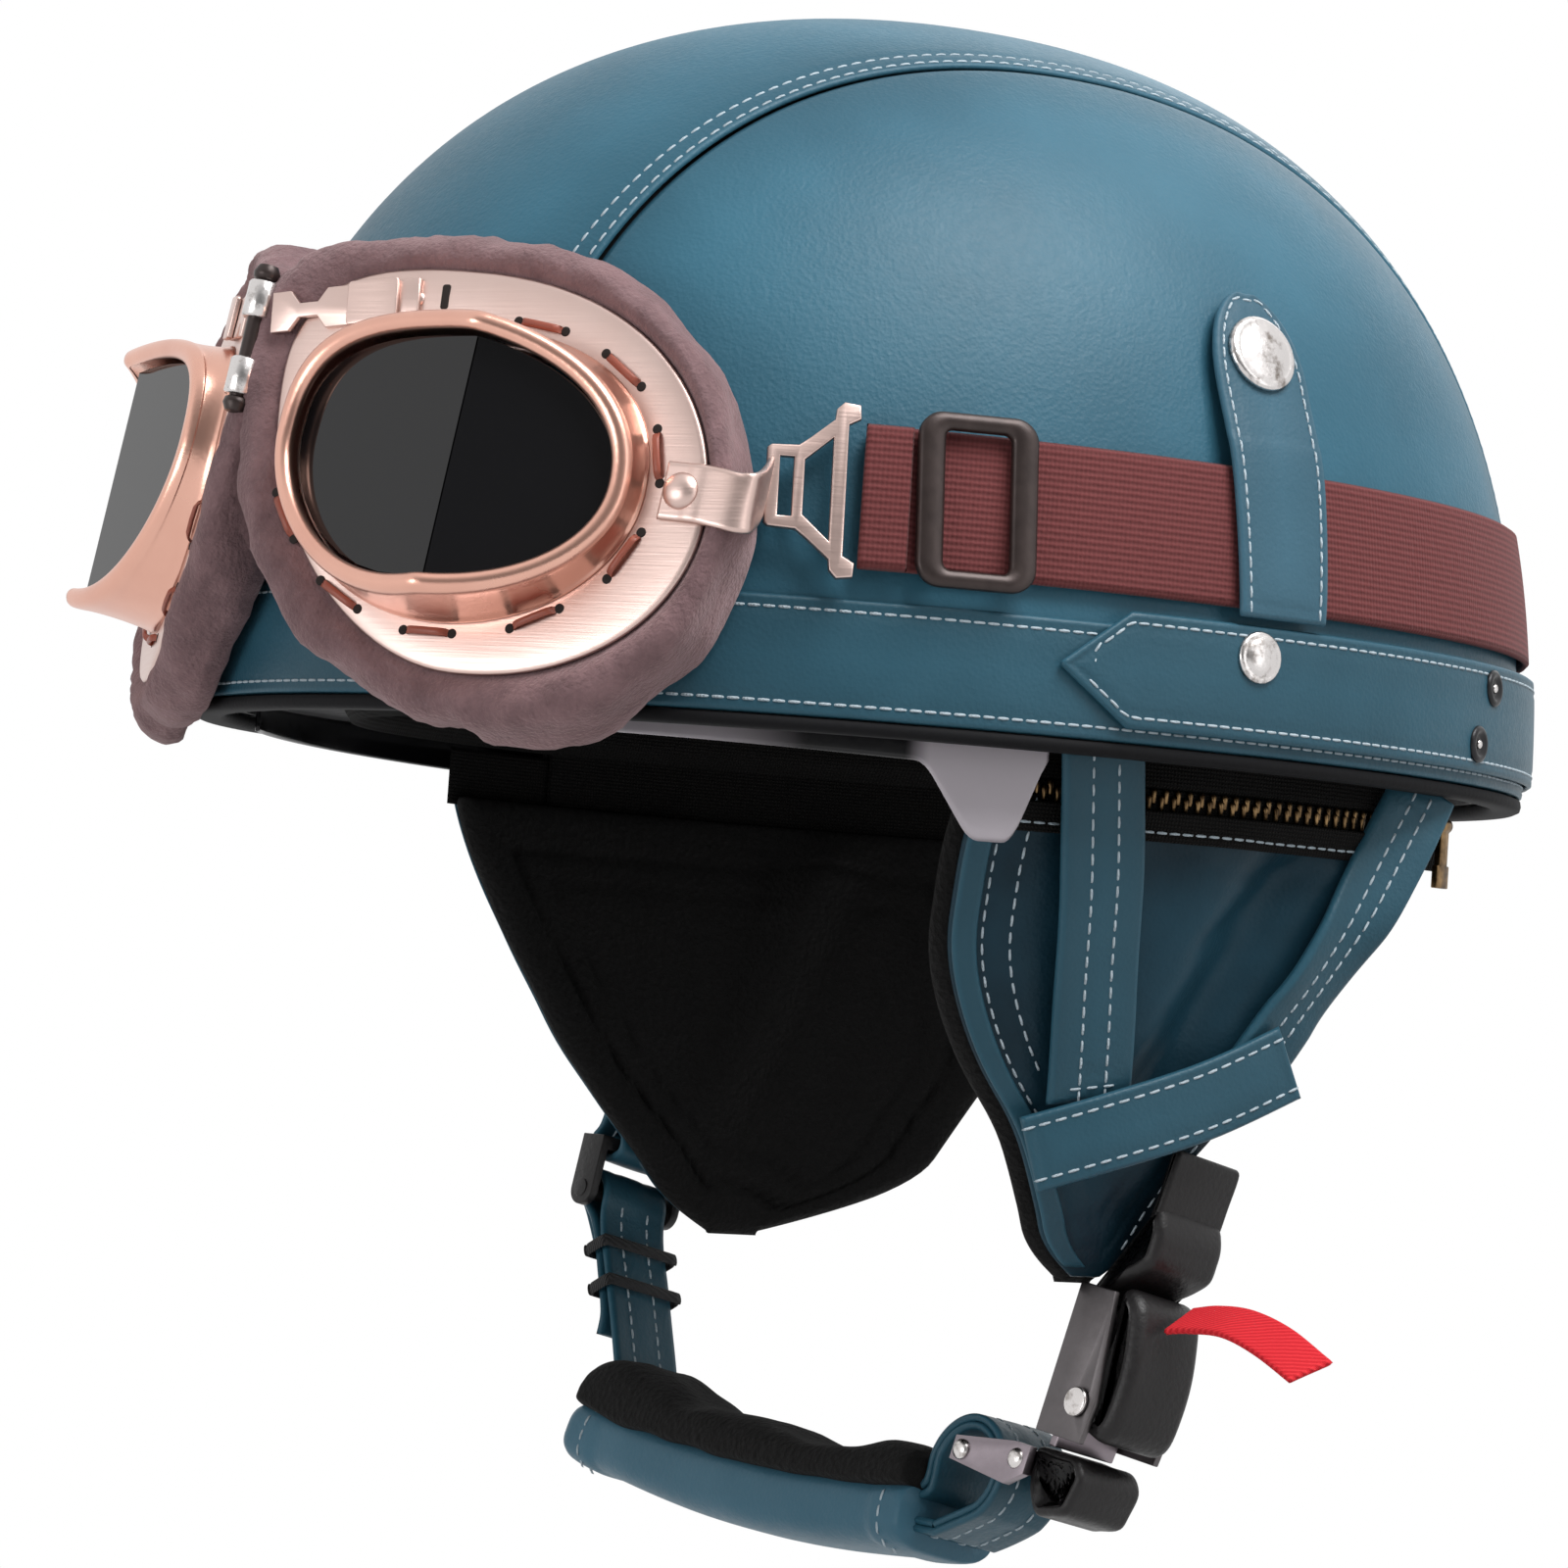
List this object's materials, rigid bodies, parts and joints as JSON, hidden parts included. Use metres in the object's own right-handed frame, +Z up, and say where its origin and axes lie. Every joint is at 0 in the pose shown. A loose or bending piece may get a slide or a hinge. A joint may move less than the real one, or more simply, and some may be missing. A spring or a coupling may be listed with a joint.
{
  "type": "motorcycle half helmet with goggles",
  "caption": "Leather-covered half-shell motorcycle helmet with flip-down goggles on an elastic strap, zip-on ear flaps and a quick-release chin strap with pad.",
  "frame": {"origin": "centre of the rim plane, where the head goes in", "axes": "-Y to the front (the goggles), +X to the wearer's left, +Z up through the crown"},
  "size_m": [0.2488, 0.3038, 0.3122],
  "materials": {
    "shell_composite": "moulded composite",
    "eps_foam": "moulded foam",
    "lining_fabric": "black fleece and woven lining",
    "cover_leather": "blue-grey grained leather, white stitching",
    "trim_leather": "blue-grey grained leather, white stitching",
    "keeper_leather": "blue-grey grained leather, white stitching",
    "trim_rubber": "matt",
    "nickel": "polished nickel",
    "clear_plastic": "translucent plastic strip",
    "elastic": "ribbed brown elastic",
    "dark_bronze": "dark bronze enamel",
    "rose_gold": "satin rose-gold plate",
    "copper": "polished copper plate",
    "lens_tint": "smoked",
    "suede": "brown suede",
    "lace": "dark red-copper lacing",
    "zip_brass": "antique brass",
    "black_elastic": "black woven elastic",
    "grey_steel": "satin zinc plate",
    "black_plastic": "moulded",
    "red_webbing": "red woven webbing"
  },
  "bodies": {
    "helmet": {"shell": "shell_composite", "eps_liner": "eps_foam", "comfort_liner": "lining_fabric", "leather_crown": "cover_leather", "leather_sides": "cover_leather", "rim_trim": "trim_rubber", "rim_band": "trim_leather", "rear_band": "trim_leather", "band_rivets": "nickel", "snap_studs": "nickel", "edge_strips": "clear_plastic", "strap_rear": "elastic", "ear_flap_left": "cover_leather", "ear_flap_right": "cover_leather", "ear_linings": "lining_fabric", "zip_skirts": "lining_fabric", "zip_chains": "zip_brass", "zip_sliders": "zip_brass", "front_straps": "trim_leather", "rear_straps": "trim_leather", "cross_bands": "trim_leather", "strap_anchor": "grey_steel", "buckle_hanger": "black_plastic", "buckle_body": "grey_steel", "buckle_pin": "nickel"},
    "keeper_left": {"keeper_tab_left": "keeper_leather", "snap_cap_left": "nickel"},
    "keeper_right": {"keeper_tab_right": "keeper_leather", "snap_cap_right": "nickel"},
    "goggles": {"strap_front_left": "elastic", "strap_front_right": "elastic", "strap_loops": "elastic", "hook_left": "rose_gold", "hook_right": "rose_gold", "eyecup_left": "rose_gold", "eyecup_right": "rose_gold", "bezel_left": "copper", "bezel_right": "copper", "lens_left": "lens_tint", "lens_right": "lens_tint", "pad_left": "suede", "pad_right": "suede", "lacing": "lace", "bridge_arms": "rose_gold", "bridge_pin": "nickel", "brackets": "rose_gold"},
    "slider_left": {"strap_slider_left": "dark_bronze"},
    "slider_right": {"strap_slider_right": "dark_bronze"},
    "zip_pull_left": {"zip_pull_left": "zip_brass"},
    "zip_pull_right": {"zip_pull_right": "zip_brass"},
    "lever": {"buckle_lever": "black_plastic", "pull_tab": "red_webbing"},
    "chin": {"chin_strap": "trim_leather", "strap_keepers": "black_elastic", "chin_fleece": "lining_fabric", "chin_roll": "trim_leather", "chin_loop": "trim_leather", "chin_link": "grey_steel", "tongue": "grey_steel", "tongue_grip": "black_plastic"}
  },
  "joints": [
    {"name": "keeper_left_flip", "type": "hinge", "parent": "helmet", "child": "keeper_left", "pos_m": [0.11842, 0.02151, 0.0258], "axis": [-0.1058, 0.9944, 0], "range_deg": [0, 100]},
    {"name": "keeper_right_flip", "type": "hinge", "parent": "helmet", "child": "keeper_right", "pos_m": [-0.11842, 0.02151, 0.0258], "axis": [-0.1058, -0.9944, 0], "range_deg": [0, 100]},
    {"name": "goggle_swing", "type": "hinge", "parent": "helmet", "child": "goggles", "pos_m": [0, 0.021, 0], "axis": [1, 0, 0], "range_deg": [0, 20], "deforming": ["strap_front_left", "strap_front_right"]},
    {"name": "slider_left_slide", "type": "hinge", "parent": "goggles", "child": "slider_left", "pos_m": [-0.04624, -0.00435, 0.041], "axis": [0, 0, 1], "range_deg": [0, 4]},
    {"name": "slider_right_slide", "type": "hinge", "parent": "goggles", "child": "slider_right", "pos_m": [0.02324, -0.0121, 0.041], "axis": [0, 0, -1], "range_deg": [0, 4]},
    {"name": "zip_pull_left_flip", "type": "hinge", "parent": "helmet", "child": "zip_pull_left", "pos_m": [0.08792, 0.08306, -0.008], "axis": [0.4467, -0.8947, 0], "range_deg": [0, 100]},
    {"name": "zip_pull_right_flip", "type": "hinge", "parent": "helmet", "child": "zip_pull_right", "pos_m": [-0.08792, 0.08306, -0.008], "axis": [0.4467, 0.8947, 0], "range_deg": [0, 100]},
    {"name": "lever_squeeze", "type": "hinge", "parent": "helmet", "child": "lever", "pos_m": [0.07988, 0.02071, -0.12723], "axis": [-0.1866, 0.9602, -0.2079], "range_deg": [0, 30], "stiffness_Nm_per_rad": 0.15, "springref_deg": -11.46},
    {"name": "chin_swing", "type": "hinge", "parent": "helmet", "child": "chin", "pos_m": [-0.0849, -0.00477, -0.09698], "axis": [-0.1866, 0.9602, -0.2079], "range_deg": [0, 70]}
  ]
}
